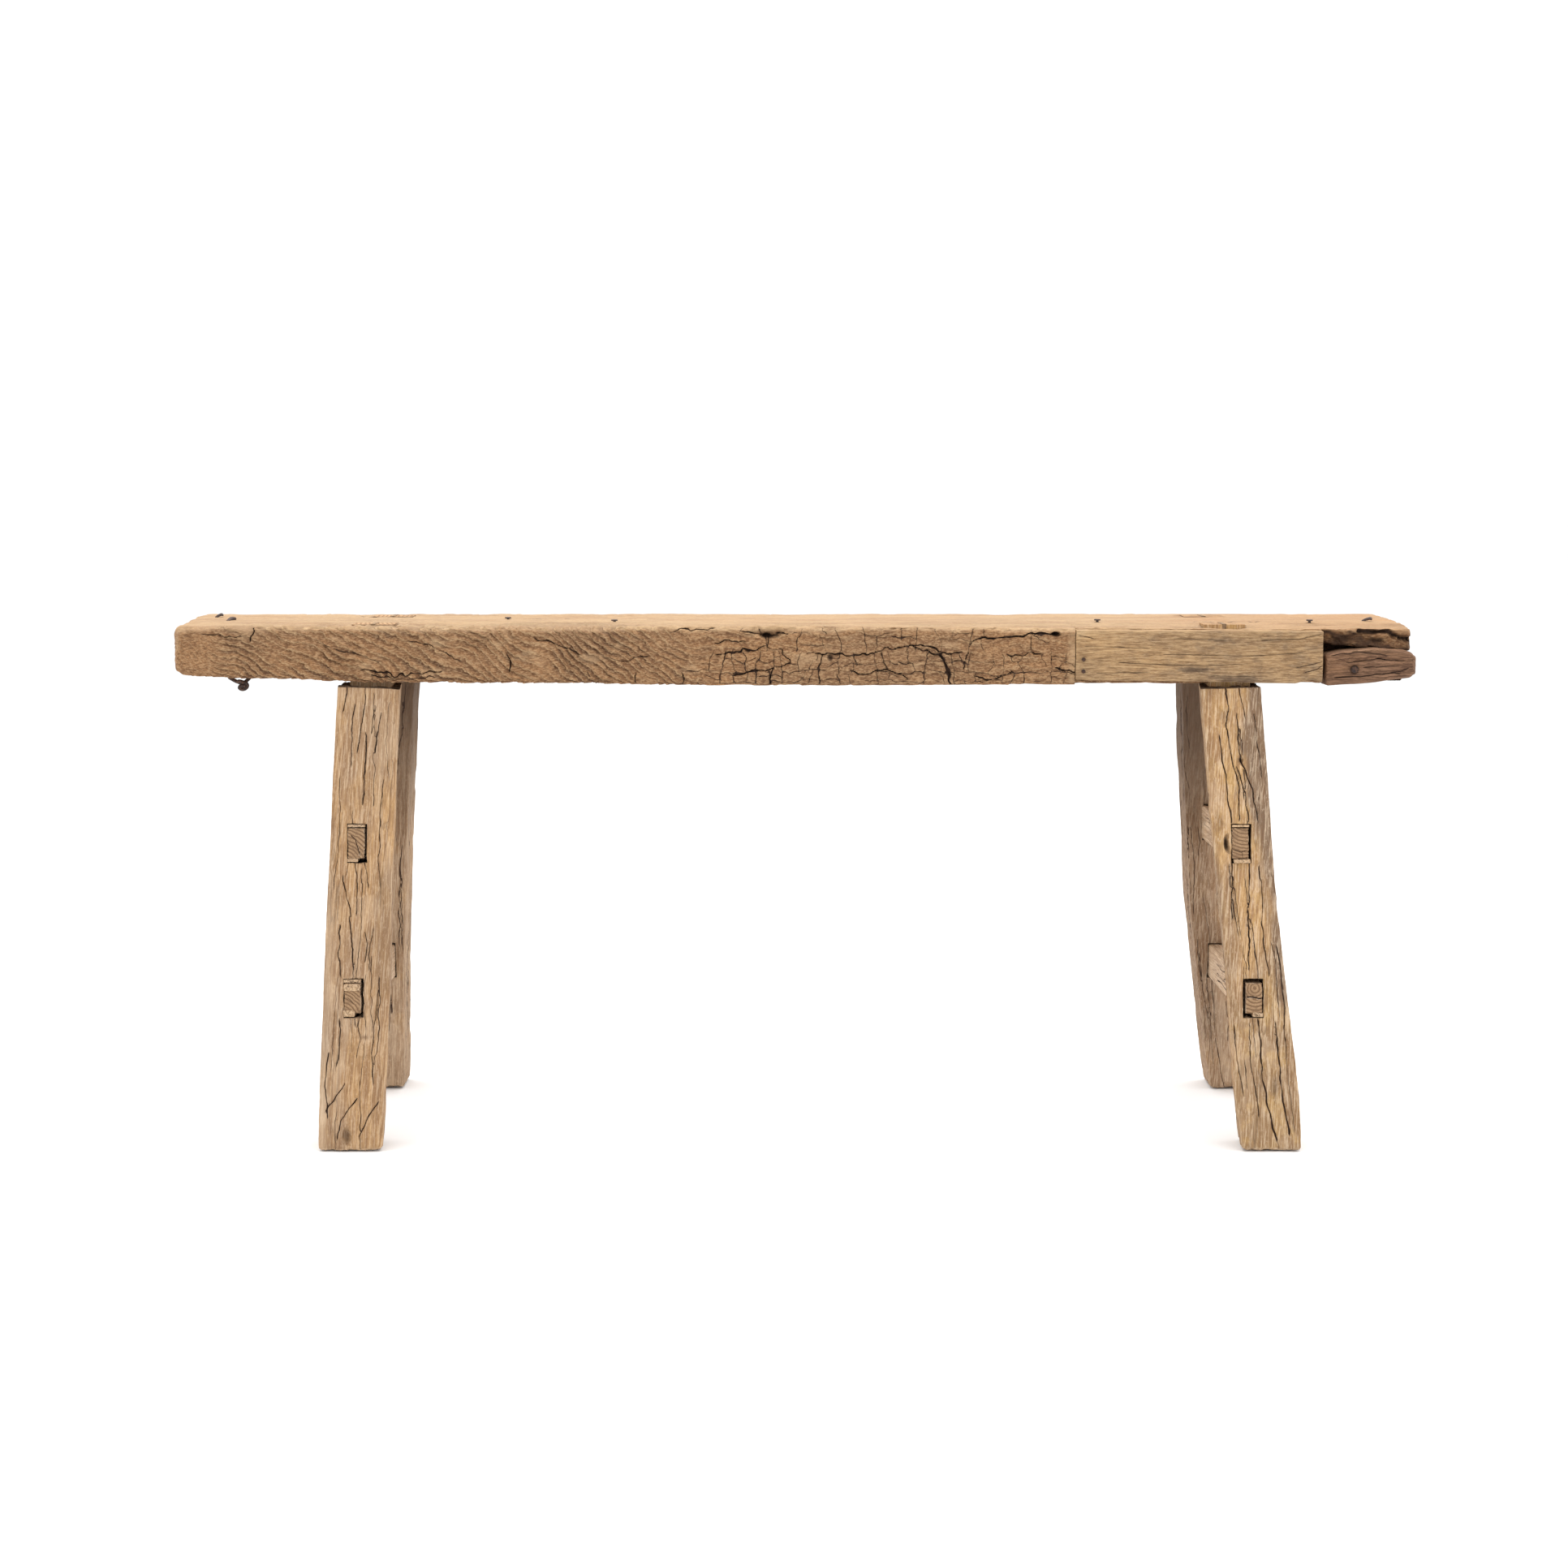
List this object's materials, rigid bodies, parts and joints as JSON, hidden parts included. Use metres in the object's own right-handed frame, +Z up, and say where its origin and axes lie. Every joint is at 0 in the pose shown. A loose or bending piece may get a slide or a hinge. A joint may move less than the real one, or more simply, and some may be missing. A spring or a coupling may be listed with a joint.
{
  "type": "backless bench",
  "caption": "Rustic backless bench: a worn timber plank on splayed legs with through tenons, wedged stretchers, an edge slip and an end repair block.",
  "frame": {"origin": "on the floor, in the middle of the bench's bounding box", "axes": "+X along the seat towards the end with the repair block, +Z up; the front, with the edge slip, faces -Y"},
  "size_m": [1.148, 0.282, 0.4867],
  "materials": {
    "seat_wood": "weathered, unfinished, worn smooth on top and checked along the front edge",
    "slip_wood": "weathered, unfinished, straight fine grain",
    "block_wood": "dark, weathered, unfinished",
    "leg_wood": "weathered, unfinished, split along the grain",
    "stretcher_wood": "weathered, unfinished, dark end grain",
    "wedge_wood": "split wedges, paler than the tenons",
    "old_iron": "rusted black iron, dull"
  },
  "bodies": {
    "root": {"bent_nails": "old_iron", "block_nail": "old_iron", "edge_slip": "slip_wood", "end_repair_block": "block_wood", "leg_back_left": "leg_wood", "leg_back_right": "leg_wood", "leg_front_left": "leg_wood", "leg_front_right": "leg_wood", "lower_stretcher_left": "stretcher_wood", "lower_stretcher_right": "stretcher_wood", "lower_wedge_left_back": "wedge_wood", "lower_wedge_left_front": "wedge_wood", "lower_wedge_right_back": "wedge_wood", "lower_wedge_right_front": "wedge_wood", "peg_back_left": "wedge_wood", "peg_back_right": "wedge_wood", "peg_front_left": "wedge_wood", "peg_front_right": "wedge_wood", "seat_nails": "old_iron", "seat_plank": "seat_wood", "slip_nails": "old_iron", "upper_stretcher_left": "stretcher_wood", "upper_stretcher_right": "stretcher_wood", "upper_wedge_left_back": "wedge_wood", "upper_wedge_left_front": "wedge_wood", "upper_wedge_right_back": "wedge_wood", "upper_wedge_right_front": "wedge_wood", "wire_hook": "old_iron"}
  },
  "joints": []
}
